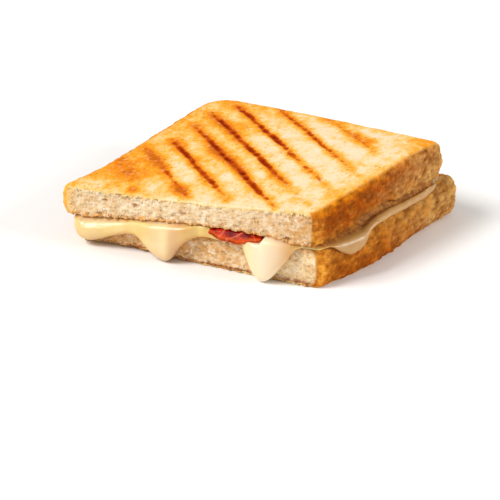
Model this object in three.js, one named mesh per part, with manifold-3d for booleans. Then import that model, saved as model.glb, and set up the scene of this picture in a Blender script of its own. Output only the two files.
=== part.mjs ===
// One half of a toasted cheese sandwich, lying on its lower slice: two slices of pressed, grill-marked bread,
// a sheet of melted cheese that runs through the middle and drips over the cut, and a folded rasher of cured ham.
// Millimetres. X runs along the cut, the cut face looks towards -Y and Z is up.
import * as THREE from "three";
import { ImprovedNoise } from "three/addons/math/ImprovedNoise.js";
import { mergeVertices } from "three/addons/utils/BufferGeometryUtils.js";
import Module from "manifold-3d";

// Clearance kept between pieces that lie on each other, the lattice that their corners lie on, and the middle of
// the part, measured from the cut's right end.
const clearance = 0.34;
const lattice = 0.01;
const baseMiddle = new THREE.Vector2(-40.8, 48);

// Every side is walked anticlockwise from above: the cut from left to right, the right crust away from the cut,
// the back from right to left and the left crust back to the cut. Lists give values at equal steps along a side.

// Plan of each half slice: where the cut's right end is, the lengths of its sides, and how far the two crusts
// beside the cut lean from square to it, in degrees. sway moves a side outwards.
const lowerPlan = {
  cutEnd: new THREE.Vector2(0.6, -0.7),
  cutLength: 102.5,
  rightCrust: 86,
  rightLean: 16.6,
  leftCrust: 104,
  leftLean: 9.3,
  sway: { front: [0, 0, 0], right: [0, 3.2, 2.6, 0.4, 0], back: [0, 0.8, 0], left: [0, -0.8, 0] },
};
const upperPlan = {
  cutEnd: new THREE.Vector2(-1.2, -3.1),
  cutLength: 106,
  rightCrust: 78,
  rightLean: 17.4,
  leftCrust: 101.5,
  leftLean: 11.2,
  sway: { front: [0, 0, 0], right: [0, 1.4, 1.8, 1, 0], back: [0, 0.3, 0], left: [0, -1, -2.2, -2.6, 0] },
};

// Corner radii in plan, from the cut's left end round by its right end.
const cornerRadii = [1.6, 1, 4, 10];

// Heights of the slices' faces above the board.
const upperTop = {
  front: [24.3, 25.2, 27, 29.6, 32.9],
  right: [32.9, 34.9, 36.3, 37, 35.4],
  back: [35.4, 33.5, 31.3, 28.8, 26.3],
  left: [26.3, 26, 25.6, 25, 24.3],
};
const upperBottom = {
  front: [10.8, 14.2, 17.2, 18.8, 18.8],
  right: [18.8, 18.2, 18.8, 19.9, 18.8],
  back: [18.8, 17.9, 16.6, 15.2, 14],
  left: [14, 13.6, 13, 12, 10.8],
};
const lowerTop = {
  front: [8.5, 9.6, 12.2, 14.9, 16.6],
  right: [16.6, 15.2, 14.6, 14.8, 17],
  back: [17, 15, 13.5, 12.3, 11.4],
  left: [11.4, 11, 10.3, 9.5, 8.5],
};
const lowerBottom = {
  front: [0.3, 1.5, 0.1, 0, 0],
  right: [0, 0, 0],
  back: [0, 0, 0],
  left: [0, 0, 0.3],
};

// Rounding of the slices' edges and how far their walls belly out at mid height, for each side.
const edgeRadius = { front: 0.9, right: 2.8, back: 3, left: 4 };
const belly = { front: 0, right: 1.5, back: 2.2, left: 2.4 };

// Relief of the bread: depth on its walls and face, and the size of one lump.
const wallRelief = 0.7;
const faceRelief = 0.4;
const lumpSize = 7;

// Grill marks lie across the top at 45 degrees to the cut. Each has its place across the bars, towards the
// cut's left end, and its two ends along them, from the back.
const markWidth = 2.6;
const markDepth = 0.75;
const marks = [
  { across: 26, from: 90, to: 29 },
  { across: 13.4, from: 100, to: 15 },
  { across: 2.5, from: 108, to: 12 },
  { across: -9.4, from: 107, to: 12 },
  { across: -22.8, from: 93, to: 19 },
  { across: -36.6, from: 68, to: 34 },
];

// Melted cheese: how far its rim stands out from the lower slice, and the tongues that run down from it. Each
// tongue is at a distance along its side, with its reach to either side, how far it drops and how far it stands out.
const cheeseRim = {
  front: [2.4, 3.4, 2, 0.5, 0.3],
  right: [0.3, 1.9, 2.2, 1.7, -2],
  back: [-2, -2.4, -2, -2.2, -2.4],
  left: [-2.4, 0.4, 1.2, 1.6, 2.4],
};
const bite = 4;
const rimSag = { least: 0.3, most: 1.1 };
const tongues = [
  { side: "front", at: 6.4, before: 6.4, after: 14, drop: 6, out: 4.6 },
  { side: "front", at: 40, before: 13, after: 12.6, drop: 10.6, out: 5 },
  { side: "front", at: 81.5, before: 11.5, after: 14, drop: 15.3, out: 5.2 },
  { side: "right", at: 16, before: 12, after: 10, drop: 7.4, out: 3.6 },
  { side: "back", at: 38, before: 17, after: 15, drop: 3.6, out: 2.4 },
  { side: "left", at: 60, before: 14, after: 12, drop: 5, out: 3.2 },
];

// Ham: the stretch of the cut where it shows, how far back it runs, how it sways on the way and its thickness.
// Its lip starts a little behind the cut, stands out and droops.
const hamSpan = [-45, -21.4];
const hamReach = 62;
const hamSway = 2.2;
const hamThickness = 1.9;
const hamTuck = 2.2;
const hamLip = 3;
const hamDroop = 2.9;
const hamStepsWide = 10;
const hamStepsLong = 14;

// How finely the outline is stepped: along the cut and the back, and along the crusts beside them.
const stepsAlong = 36;
const stepsAcross = 20;
const sides = ["front", "right", "back", "left"];
const innerShare = 0.86;

const noise = new ImprovedNoise();

// Smooth noise from 0 to 1 at a point.
function lump(x, y, z) {
  return 0.5 + 0.5 * noise.noise(x / lumpSize + 11.3, y / lumpSize + 4.7, z / lumpSize + 8.1);
}

// Smooth value at a share t of the way through equally spaced values.
function along(values, t) {
  const curve = new THREE.SplineCurve(values.map((value, k) => new THREE.Vector2(k, value)));
  return curve.getPoint(THREE.MathUtils.clamp(t, 0, 1)).y;
}

// The four corners of a half slice, from the cut's left end round by its right end.
function cornersOf(plan) {
  const left = new THREE.Vector2(plan.cutEnd.x - plan.cutLength, plan.cutEnd.y);
  const lean = (length, degrees) => {
    const angle = THREE.MathUtils.degToRad(degrees);
    return new THREE.Vector2(length * Math.sin(angle), length * Math.cos(angle));
  };
  return [
    left,
    plan.cutEnd.clone(),
    plan.cutEnd.clone().add(lean(plan.rightCrust, plan.rightLean)),
    left.clone().add(lean(plan.leftCrust, plan.leftLean)),
  ];
}

// Height of a face at a place in plan, blended from the heights along its four sides and never below the board.
function heightAt(plan, face, x, y) {
  const [a, b, c, d] = cornersOf(plan);
  const leftX = a.x + ((d.x - a.x) * (y - a.y)) / (d.y - a.y);
  const rightX = b.x + ((c.x - b.x) * (y - b.y)) / (c.y - b.y);
  const backY = d.y + ((c.y - d.y) * (x - d.x)) / (c.x - d.x);
  const u = THREE.MathUtils.clamp((x - leftX) / (rightX - leftX), 0, 1);
  const v = THREE.MathUtils.clamp((y - a.y) / (backY - a.y), 0, 1);
  const lengthwise = (1 - v) * along(face.front, u) + v * along(face.back, 1 - u);
  const crosswise = (1 - u) * along(face.left, 1 - v) + u * along(face.right, v);
  const nearCorners = (1 - v) * THREE.MathUtils.lerp(face.front[0], face.right[0], u);
  const farCorners = v * THREE.MathUtils.lerp(face.left[0], face.back[0], u);
  return Math.max(0, lengthwise + crosswise - nearCorners - farCorners);
}

// Stations round a half slice, anticlockwise from above, with outward normals. Near a corner each point
// is drawn in towards the slice, which rounds the corner.
function stationsOf(plan) {
  const corners = cornersOf(plan);
  const stations = [];
  sides.forEach((side, s) => {
    const from = corners[s];
    const to = corners[(s + 1) % 4];
    const steps = s % 2 ? stepsAcross : stepsAlong;
    const tangent = to.clone().sub(from).normalize();
    const outward = new THREE.Vector2(tangent.y, -tangent.x);
    for (let k = 0; k < steps; k++) {
      const t = k / steps;
      const point = from.clone().lerp(to, t);
      point.addScaledVector(outward, along(plan.sway[side], t));
      stations.push({ side, t, length: from.distanceTo(to), point });
    }
  });
  const middle = corners.reduce((sum, p) => sum.add(p), new THREE.Vector2()).divideScalar(4);
  for (const station of stations) {
    corners.forEach((corner, c) => {
      const reach = 1.17 * cornerRadii[c];
      const away = station.point.distanceTo(corner);
      if (away < reach) {
        const inwards = middle.clone().sub(corner).normalize();
        station.point.addScaledVector(inwards, 0.5 * cornerRadii[c] * (1 - away / reach) ** 2);
      }
    });
  }
  stations.forEach((station, i) => {
    const before = stations[(i + stations.length - 1) % stations.length].point;
    const after = stations[(i + 1) % stations.length].point;
    const tangent = after.clone().sub(before).normalize();
    station.normal = new THREE.Vector2(tangent.y, -tangent.x);
  });
  stations.forEach((station, i) => {
    station.radius = nearbyMean(stations, i, edgeRadius);
    station.belly = nearbyMean(stations, i, belly);
  });
  return stations;
}

// Mean of a side's value over a station and the two on each side of it, so that it changes gently at corners.
function nearbyMean(stations, i, valueOf) {
  let sum = 0;
  for (let k = -2; k <= 2; k++) {
    sum += valueOf[stations[(i + k + stations.length) % stations.length].side];
  }
  return sum / 5;
}

// A closed surface put together from loops of points.
class Skin {
  constructor() {
    this.points = [];
    this.triangles = [];
  }

  loop(points) {
    const first = this.points.length / 3;
    points.forEach((p) => this.points.push(p.x, p.y, p.z));
    return points.map((_, k) => first + k);
  }

  // Wall between two loops of equal length, the second one above or inside the first.
  wall(below, above) {
    below.forEach((a, k) => {
      const next = (k + 1) % below.length;
      this.triangles.push(a, below[next], above[next], a, above[next], above[k]);
    });
  }

  // Fan over a loop, seen from above or from below, with its tip at a point inside it.
  fan(loop, tip, facesUp) {
    const [top] = this.loop([tip]);
    loop.forEach((a, k) => {
      const next = loop[(k + 1) % loop.length];
      this.triangles.push(top, facesUp ? a : next, facesUp ? next : a);
    });
  }

  geometry() {
    const made = new THREE.BufferGeometry();
    made.setAttribute("position", new THREE.Float32BufferAttribute(this.points, 3));
    made.setIndex(this.triangles);
    return made;
  }
}

// Seven points up a slice's wall at one station: round lower edge, belly, round upper edge. They move outwards
// by grow.
function wallPoints(plan, bottom, top, station, grow) {
  const { point, normal, radius } = station;
  const low = heightAt(plan, bottom, point.x, point.y);
  const high = heightAt(plan, top, point.x, point.y);
  const inset = point.clone().addScaledVector(normal, -radius);
  const rim = (face, lift) => new THREE.Vector3(inset.x, inset.y, faceAt(plan, face, inset.x, inset.y) + lift);
  const side = (turn, z) => {
    const edge = point.clone().addScaledVector(normal, (Math.cos(turn) - 1) * radius);
    const level = (2 * (z - low)) / (high - low) - 1;
    const out = station.belly * (1 - level * level) - wallRelief * lump(edge.x, edge.y, z);
    edge.addScaledVector(normal, out + grow * Math.cos(turn));
    return new THREE.Vector3(edge.x, edge.y, z + grow * Math.sin(turn));
  };
  const eighth = Math.PI / 4;
  const quarter = (1 - Math.SQRT1_2) * radius;
  return [
    rim(bottom, -grow),
    side(-eighth, low + quarter),
    side(0, low + radius),
    side(0, (low + high) / 2),
    side(0, high - radius),
    side(eighth, high - quarter),
    rim(top, grow),
  ];
}

// The upper slice's toasted face has relief, every other face is smooth.
function faceAt(plan, face, x, y) {
  const relief = face === upperTop ? faceRelief * (lump(x, y, 0) - 0.5) : 0;
  return heightAt(plan, face, x, y) + relief;
}

// Closes a loop with a hidden face: a ring pulled in towards the slice's middle and a fan inside it, both laid on
// the face and moved up or down by a lift.
function hiddenFace(skin, loop, plan, face, lift, facesUp) {
  const middle = cornersOf(plan).reduce((sum, p) => sum.add(p), new THREE.Vector2()).divideScalar(4);
  const onFace = (x, y) => new THREE.Vector3(x, y, faceAt(plan, face, x, y) + lift);
  const ring = skin.loop(
    loop.map((i) => {
      const x = THREE.MathUtils.lerp(middle.x, skin.points[3 * i], innerShare);
      const y = THREE.MathUtils.lerp(middle.y, skin.points[3 * i + 1], innerShare);
      return onFace(x, y);
    }),
  );
  skin.wall(facesUp ? loop : ring, facesUp ? ring : loop);
  skin.fan(ring, onFace(middle.x, middle.y), facesUp);
}

// Fills a rim with a grid of points on a face: a Coons patch in plan, laid on the face's heights.
function gridFace(skin, rim, plan, face) {
  const at = (i) => new THREE.Vector3().fromArray(skin.points, 3 * rim[i % rim.length]);
  const front = (j) => at(j);
  const right = (k) => at(stepsAlong + k);
  const back = (j) => at(2 * stepsAlong + stepsAcross - j);
  const left = (k) => at(2 * stepsAlong + 2 * stepsAcross - k);
  const index = (j, k) => {
    if (k === 0) return rim[j];
    if (j === stepsAlong) return rim[stepsAlong + k];
    if (k === stepsAcross) return rim[2 * stepsAlong + stepsAcross - j];
    if (j === 0) return rim[2 * stepsAlong + 2 * stepsAcross - k];
    return inner[(j - 1) * (stepsAcross - 1) + (k - 1)];
  };
  const places = [];
  for (let j = 1; j < stepsAlong; j++) {
    for (let k = 1; k < stepsAcross; k++) {
      const u = j / stepsAlong;
      const v = k / stepsAcross;
      const blend = (axis) =>
        (1 - v) * front(j)[axis] +
        v * back(j)[axis] +
        (1 - u) * left(k)[axis] +
        u * right(k)[axis] -
        (1 - v) * ((1 - u) * front(0)[axis] + u * front(stepsAlong)[axis]) -
        v * ((1 - u) * back(0)[axis] + u * back(stepsAlong)[axis]);
      const x = blend("x");
      const y = blend("y");
      places.push(new THREE.Vector3(x, y, faceAt(plan, face, x, y)));
    }
  }
  const inner = skin.loop(places);
  for (let j = 0; j < stepsAlong; j++) {
    for (let k = 0; k < stepsAcross; k++) {
      const [a, b, c, d] = [index(j, k), index(j + 1, k), index(j + 1, k + 1), index(j, k + 1)];
      skin.triangles.push(a, b, c, a, c, d);
    }
  }
}

// A half slice of bread between two faces. The toasted top face of the upper slice is a fine grid. A grown slice
// is larger all round: it is what is cut away from the cheese and the ham.
function makeSlice(plan, bottom, top, grow) {
  const skin = new Skin();
  const columns = stationsOf(plan).map((station) => wallPoints(plan, bottom, top, station, grow));
  const loops = columns[0].map((_, k) => skin.loop(columns.map((column) => column[k])));
  for (let k = 1; k < loops.length; k++) skin.wall(loops[k - 1], loops[k]);
  hiddenFace(skin, loops[0], plan, bottom, -grow, false);
  if (top === upperTop) {
    gridFace(skin, loops.at(-1), plan, top);
  } else {
    hiddenFace(skin, loops.at(-1), plan, top, grow, true);
  }
  return skin.geometry();
}

// A long wedge that follows the toasted face under one grill bar and runs out of it at both ends.
function makeMark(mark) {
  const skin = new Skin();
  const across = new THREE.Vector2(-1, -1).normalize();
  const lengthwise = new THREE.Vector2(-1, 1).normalize();
  const centre = across.clone().multiplyScalar(mark.across);
  const steps = Math.round((mark.from - mark.to) / 8);
  const sections = [];
  for (let k = 0; k <= steps; k++) {
    const t = k / steps;
    const place = centre.clone().addScaledVector(lengthwise, THREE.MathUtils.lerp(mark.to, mark.from, t));
    const depth = markDepth * Math.min(1, 6 * Math.sin(Math.PI * t) - 0.4);
    const half = markWidth / 2;
    const section = [
      [-2 * half, 1.5],
      [-0.5 * half, -depth],
      [0.5 * half, -depth],
      [2 * half, 1.5],
    ].map(([side, rise]) => {
      const p = place.clone().addScaledVector(across, side);
      return new THREE.Vector3(p.x, p.y, faceAt(upperPlan, upperTop, place.x, place.y) + rise);
    });
    sections.push(skin.loop(section));
  }
  for (let k = 1; k < sections.length; k++) skin.wall(sections[k - 1], sections[k]);
  const [first, last] = [sections[0], sections.at(-1)];
  skin.triangles.push(first[0], first[2], first[1], first[0], first[3], first[2]);
  skin.triangles.push(last[0], last[1], last[2], last[0], last[2], last[3]);
  return skin.geometry();
}

// How far the cheese drops and stands out at a station of the lower slice.
function cheeseRun(station) {
  const place = station.t * station.length;
  const rim = along(cheeseRim[station.side], station.t);
  const sag = THREE.MathUtils.lerp(rimSag.least, rimSag.most, THREE.MathUtils.smoothstep(rim, 0, 2));
  const run = { drop: sag, out: rim };
  for (const tongue of tongues.filter((t) => t.side === station.side)) {
    const away = place - tongue.at;
    const reach = Math.abs(away) / (away < 0 ? tongue.before : tongue.after);
    const share = Math.max(0, 1 - reach * reach) ** 1.6;
    run.drop = Math.max(run.drop, tongue.drop * share);
    run.out += Math.max(0, tongue.out - rim) * Math.min(1, 1.4 * share ** 0.8);
  }
  return run;
}

// Section of the cheese at one station, as outward distances from the lower slice's rim and heights. It starts
// inside the upper slice and ends inside the lower one: both slices are cut out of the cheese afterwards.
function cheeseSection(station, upperStation) {
  const overhang = upperStation.point.clone().sub(station.point).dot(station.normal);
  const ceiling = heightAt(upperPlan, upperBottom, upperStation.point.x, upperStation.point.y);
  const floor = heightAt(lowerPlan, lowerTop, station.point.x, station.point.y);
  const { drop, out } = cheeseRun(station);
  const tip = floor - drop;
  const body = ceiling - tip;
  const shoulder = Math.min(overhang - 0.2, out - 0.8);
  const back = Math.min(station.belly * 0.5, out - 3);
  const thick = out - back;
  return [
    [shoulder - 0.4, ceiling + 0.3],
    [shoulder + 0.4 * (out - shoulder), ceiling - 0.12 * body],
    [shoulder + 0.8 * (out - shoulder), ceiling - 0.32 * body],
    [out, ceiling - 0.58 * body],
    [out - 0.08 * thick, ceiling - 0.82 * body],
    [out - 0.3 * thick, ceiling - 0.96 * body],
    [out - 0.65 * thick, tip],
    [back, tip + 0.1],
    [back - 1.6, Math.min(floor - 2, tip + 0.8)],
  ];
}

// Melted cheese between the slices, with its rim and tongues.
function makeCheese() {
  const skin = new Skin();
  const stations = stationsOf(lowerPlan);
  const upperStations = stationsOf(upperPlan);
  const columns = stations.map((station, i) =>
    cheeseSection(station, upperStations[i]).map(([out, z]) => {
      const place = station.point.clone().addScaledVector(station.normal, out);
      return new THREE.Vector3(place.x, place.y, z);
    }),
  );
  const loops = columns[0].map((_, k) => skin.loop(columns.map((column) => column[k])));
  for (let k = 1; k < loops.length; k++) skin.wall(loops[k], loops[k - 1]);
  hiddenFace(skin, loops[0], upperPlan, upperBottom, bite, true);
  hiddenFace(skin, loops.at(-1), lowerPlan, lowerTop, -bite, false);
  return skin.geometry();
}

// Ham: a rasher lying on the cheese and hanging over the cut in a shallow lip. The pocket is the space that
// it takes up, open above and towards the cut, which is cut out of the cheese.
function makeHam(isPocket) {
  const half = hamThickness / 2;
  const room = isPocket ? 2 * clearance : 0;
  const spread = (hamSpan[1] - hamSpan[0]) / 2 + room;
  const lipEdge = upperPlan.cutEnd.y + hamTuck;
  const front = lipEdge - hamLip - (isPocket ? 4 : 0);
  const middle = (u, v) => {
    const sideways = 2 * u - 1;
    const y = THREE.MathUtils.lerp(front, hamReach + room, (1 - v) ** 2);
    const lip = THREE.MathUtils.smoothstep(lipEdge - y, 0, hamLip);
    const x = (hamSpan[0] + hamSpan[1]) / 2 + spread * sideways + hamSway * Math.sin(y / 13) * (1 - lip);
    const fall = hamDroop * (1 - sideways ** 2) * lip;
    return new THREE.Vector3(x, y, heightAt(upperPlan, upperBottom, x, y) - 1.3 * clearance - half - fall);
  };
  const normal = (u, v) => {
    const step = 0.01;
    const crosswise = middle(Math.min(u + step, 1), v).sub(middle(Math.max(u - step, 0), v));
    const lengthwise = middle(u, Math.min(v + step, 1)).sub(middle(u, Math.max(v - step, 0)));
    return lengthwise.cross(crosswise).normalize();
  };
  const edgeShare = (u, v) => 0.35 + 0.65 * Math.sqrt(Math.min(1, 6 * u, 6 * (1 - u), 6 * v, 6 * (1 - v)));
  const outer = [];
  const inner = [];
  for (let j = 0; j <= hamStepsWide; j++) {
    for (let k = 0; k <= hamStepsLong; k++) {
      const [u, v] = [j / hamStepsWide, k / hamStepsLong];
      const place = middle(u, v);
      const thick = half * edgeShare(u, v);
      const upwards = isPocket ? new THREE.Vector3(0, 0, 4) : normal(u, v).multiplyScalar(thick);
      const downwards = normal(u, v).multiplyScalar(-thick - room);
      outer.push(place.clone().add(upwards));
      inner.push(place.clone().add(downwards));
    }
  }
  const skin = new Skin();
  const [above, below] = [skin.loop(outer), skin.loop(inner)];
  const at = (j, k) => j * (hamStepsLong + 1) + k;
  for (let j = 0; j < hamStepsWide; j++) {
    for (let k = 0; k < hamStepsLong; k++) {
      const [a, b, c, d] = [at(j, k), at(j + 1, k), at(j + 1, k + 1), at(j, k + 1)];
      skin.triangles.push(above[a], above[c], above[b], above[a], above[d], above[c]);
      skin.triangles.push(below[a], below[b], below[c], below[a], below[c], below[d]);
    }
  }
  const edge = [];
  for (let j = 0; j < hamStepsWide; j++) edge.push(at(j, hamStepsLong));
  for (let k = hamStepsLong; k > 0; k--) edge.push(at(hamStepsWide, k));
  for (let j = hamStepsWide; j > 0; j--) edge.push(at(j, 0));
  for (let k = 0; k < hamStepsLong; k++) edge.push(at(0, k));
  skin.wall(
    edge.map((i) => below[i]),
    edge.map((i) => above[i]),
  );
  return skin.geometry();
}

const wasm = await Module();
wasm.setup();

function toSolid(geometry) {
  const merged = mergeVertices(geometry, 1e-4);
  const mesh = new wasm.Mesh({
    numProp: 3,
    vertProperties: merged.attributes.position.array,
    triVerts: new Uint32Array(merged.index.array),
  });
  return new wasm.Manifold(mesh);
}

// A solid's surface with its points on a fine lattice, where the slivers that cuts leave behind close up.
function toGeometry(solid) {
  const mesh = solid.getMesh();
  const made = new THREE.BufferGeometry();
  const snapped = Array.from(mesh.vertProperties, (value) => Math.round(value / lattice) * lattice);
  made.setAttribute("position", new THREE.Float32BufferAttribute(snapped, 3));
  made.setIndex(new THREE.Uint32BufferAttribute(mesh.triVerts, 1));
  const merged = mergeVertices(made, lattice / 4);
  const index = merged.index.array;
  const kept = new Map();
  for (let i = 0; i < index.length; i += 3) {
    const corners = Array.from(index.subarray(i, i + 3));
    if (new Set(corners).size === 3) {
      const key = corners.toSorted().join();
      if (!kept.delete(key)) kept.set(key, corners);
    }
  }
  merged.setIndex([...kept.values()].flat());
  return merged;
}

// Drops the crumbs of cheese that a cut can leave beside the ham.
function largestBody(solid) {
  return solid.decompose().reduce((most, body) => (body.volume() > most.volume() ? body : most));
}

function addPiece(group, name, solid, colour, roughness) {
  const geometry = toGeometry(solid);
  geometry.computeVertexNormals();
  const material = new THREE.MeshStandardMaterial({ color: colour, roughness, metalness: 0 });
  const mesh = new THREE.Mesh(geometry, material);
  mesh.name = name;
  group.add(mesh);
}

const upperSpace = toSolid(makeSlice(upperPlan, upperBottom, upperTop, clearance));
const lowerSpace = toSolid(makeSlice(lowerPlan, lowerBottom, lowerTop, clearance));
const upperSlice = marks.reduce(
  (slice, mark) => slice.subtract(toSolid(makeMark(mark))),
  toSolid(makeSlice(upperPlan, upperBottom, upperTop, 0)),
);
const lowerSlice = toSolid(makeSlice(lowerPlan, lowerBottom, lowerTop, 0));
const ham = largestBody(toSolid(makeHam(false)).subtract(upperSpace));
const pressed = toSolid(makeCheese()).subtract(upperSpace).subtract(lowerSpace);
const cheese = largestBody(pressed.subtract(toSolid(makeHam(true))));

const sandwich = new THREE.Group();
addPiece(sandwich, "upper_slice", upperSlice, "#e6b871", 0.9);
addPiece(sandwich, "lower_slice", lowerSlice, "#d9a863", 0.9);
addPiece(sandwich, "cheese", cheese, "#f2dc9a", 0.35);
addPiece(sandwich, "ham", ham, "#a8331e", 0.4);
sandwich.position.set(-baseMiddle.x, -baseMiddle.y, 0);

export default sandwich;
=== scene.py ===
import functools
import math
import bpy
import numpy as np
from mathutils import Matrix, Vector


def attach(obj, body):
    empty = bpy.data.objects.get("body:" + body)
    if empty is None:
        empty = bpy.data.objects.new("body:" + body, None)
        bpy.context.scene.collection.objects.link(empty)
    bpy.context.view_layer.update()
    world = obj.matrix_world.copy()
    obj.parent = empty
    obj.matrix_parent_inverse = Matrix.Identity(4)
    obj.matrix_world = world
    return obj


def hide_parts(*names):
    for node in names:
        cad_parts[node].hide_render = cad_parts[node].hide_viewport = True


# Half of a toasted cheese sandwich. Shapes are worked out in millimetres, with X along the cut, the cut
# face towards -Y and the cut's right end near x = 0, and are moved to the part's own frame at the end.
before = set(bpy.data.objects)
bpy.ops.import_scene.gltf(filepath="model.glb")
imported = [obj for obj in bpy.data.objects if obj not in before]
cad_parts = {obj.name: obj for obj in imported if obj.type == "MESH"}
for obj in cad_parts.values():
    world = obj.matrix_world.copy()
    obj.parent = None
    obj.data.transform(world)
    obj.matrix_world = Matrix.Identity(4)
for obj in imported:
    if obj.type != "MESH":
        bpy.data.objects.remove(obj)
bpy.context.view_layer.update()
baseMiddle = np.array([-40.8, 48.0, 0.0])  # middle of the part, from the cut's right end

# Both half slices, walked anticlockwise: cut, right crust, back, left crust. Lists hold values at equal
# steps, and leans are in degrees. Sway is how far a side bows out. Rind is where the crust gives way to crumb
# at the cut's right end: where that begins, where it is done, and how much later at the faces. Soak and shade
# is how much the crumb darkens along the cut: where cheese has run in, and on the lower slice also painted
# shade.
slicePlans = {
    "lower": {
        "cutEnd": (0.6, -0.7), "cutLength": 102.5,
        "rightCrust": 86, "rightLean": 16.6, "leftCrust": 104, "leftLean": 9.3, "rind": (0.8, 3, 3.2),
        # the lower slice's cut darkens partly as painted shade under the upper slice
        "soakAndShade": [0.5, 0.5, 0.55, 0.4, 0, 0],
        "sway": {
            "front": [0, 0, 0], "right": [0, 3.2, 2.6, 0.4, 0], "back": [0, 0.8, 0], "left": [0, -0.8, 0],
        },
        "top": {
            "front": [8.5, 9.6, 12.2, 14.9, 16.6], "right": [16.6, 16.7, 16.2, 14.9, 17],
            "back": [17, 15, 13.5, 12.3, 11.4], "left": [11.4, 11, 10.3, 9.5, 8.5],
        },
        "bottom": {
            "front": [0.3, 1.5, 0.1, 0, 0], "right": [0, 0, 0], "back": [0, 0, 0], "left": [0, 0, 0.3],
        },
    },
    "upper": {
        "cutEnd": (-1.2, -3.1), "cutLength": 106,
        "rightCrust": 78, "rightLean": 17.4, "leftCrust": 101.5, "leftLean": 11.2, "rind": (0.2, 2, 1),
        "soakAndShade": [0.15, 0.05, 0, 0, 0.3, 0.55],
        "sway": {
            "front": [0, 0, 0], "right": [0, 1.4, 1.8, 1, 0],
            "back": [0, 0.3, 0], "left": [0, -1, -2.2, -2.6, 0],
        },
        "top": {
            "front": [24.3, 25.2, 27, 29.6, 32.9], "right": [32.9, 34.9, 36.3, 37, 35.4],
            "back": [35.4, 33.5, 31.3, 28.8, 26.3], "left": [26.3, 26, 25.6, 25, 24.3],
        },
        "bottom": {
            "front": [10.8, 14.2, 17.2, 18.6, 17.5],
            "right": [17.5, 17.4, 17.6, 18.2, 20.4, 21.2, 21.2, 20.4, 19.6, 19.2, 19.4, 19.4, 18.8],
            "back": [18.8, 17.9, 16.6, 15.2, 14], "left": [14, 13.6, 13, 12, 10.8],
        },
    },
}
breadShape = {
    "cornerRadii": [3, 1.8, 3.2, 10],  # from the cut's left end round by its right end
    "edgeRadius": {"front": 0.8, "right": 2.2, "back": 3, "left": 4},
    "belly": {"front": 0, "right": 1.5, "back": 2.2, "left": 2.4},
    "lumpiness": {"front": 0.5, "right": 1, "back": 0.6, "left": 0.35},
    "stepsAlong": 250,
    "stepsAcross": 190,
    "wallRows": 26,
    "roundRows": 5,
    "reliefRoom": 0.3,  # the walls keep this far in, because the relief swells them
    "blendShare": 0.0196,  # share of the way round over which one side's form blends into the next
    "relaxSweeps": 60,  # spread the grid of a toasted face, whose rows crowd near the rim
    # rings that fill the hidden faces, close together near the rim, where they can show
    "ringShares": (0.988, 0.972, 0.955, 0.935, 0.915, 0.89, 0.86, 0.82, 0.6, 0.2),
}
sideNames = ["front", "right", "back", "left"]


def smoothstep(value, low, high):
    share = np.clip((value - low) / (high - low), 0, 1)
    return share * share * (3 - 2 * share)


def along(values, share):  # smooth curve through equally spaced values, which may be rows of a table
    table = np.asarray(values, float)
    last = len(table) - 1
    place = np.clip(share, 0, 1) * last
    k = np.minimum(np.floor(place).astype(int), last - 1)
    w = (place - k).reshape(place.shape + (1,) * (table.ndim - 1))
    before, a, b, after = table[np.maximum(k - 1, 0)], table[k], table[k + 1], table[np.minimum(k + 2, last)]
    slopeA, slopeB = (b - before) / 2, (after - a) / 2
    cubic, square = 2 * a - 2 * b + slopeA + slopeB, 3 * b - 3 * a - 2 * slopeA - slopeB
    return cubic * w**3 + square * w**2 + slopeA * w + a


def cornersOf(plan):
    right = np.array(plan["cutEnd"], float)
    left = right - (plan["cutLength"], 0)
    rightLean, leftLean = math.radians(plan["rightLean"]), math.radians(plan["leftLean"])
    return [
        left,
        right,
        right + plan["rightCrust"] * np.array([math.sin(rightLean), math.cos(rightLean)]),
        left + plan["leftCrust"] * np.array([math.sin(leftLean), math.cos(leftLean)]),
    ]


def planShare(plan, x, y):  # share of the way along the cut and away from it
    a, b, c, d = cornersOf(plan)
    leftX = a[0] + (d[0] - a[0]) * (y - a[1]) / (d[1] - a[1])
    rightX = b[0] + (c[0] - b[0]) * (y - b[1]) / (c[1] - b[1])
    backY = d[1] + (c[1] - d[1]) * (x - d[0]) / (c[0] - d[0])
    return np.clip((x - leftX) / (rightX - leftX), 0, 1), np.clip((y - a[1]) / (backY - a[1]), 0, 1)


def heightAt(plan, level, x, y):  # height of a slice's "top" or "bottom" at a place
    face = plan[level]
    u, v = planShare(plan, x, y)
    lengthwise = (1 - v) * along(face["front"], u) + v * along(face["back"], 1 - u)
    crosswise = (1 - u) * along(face["left"], 1 - v) + u * along(face["right"], v)
    nearCorners = (1 - v) * ((1 - u) * face["front"][0] + u * face["right"][0])
    farCorners = v * ((1 - u) * face["left"][0] + u * face["back"][0])
    return np.maximum(0, lengthwise + crosswise - nearCorners - farCorners)


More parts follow.
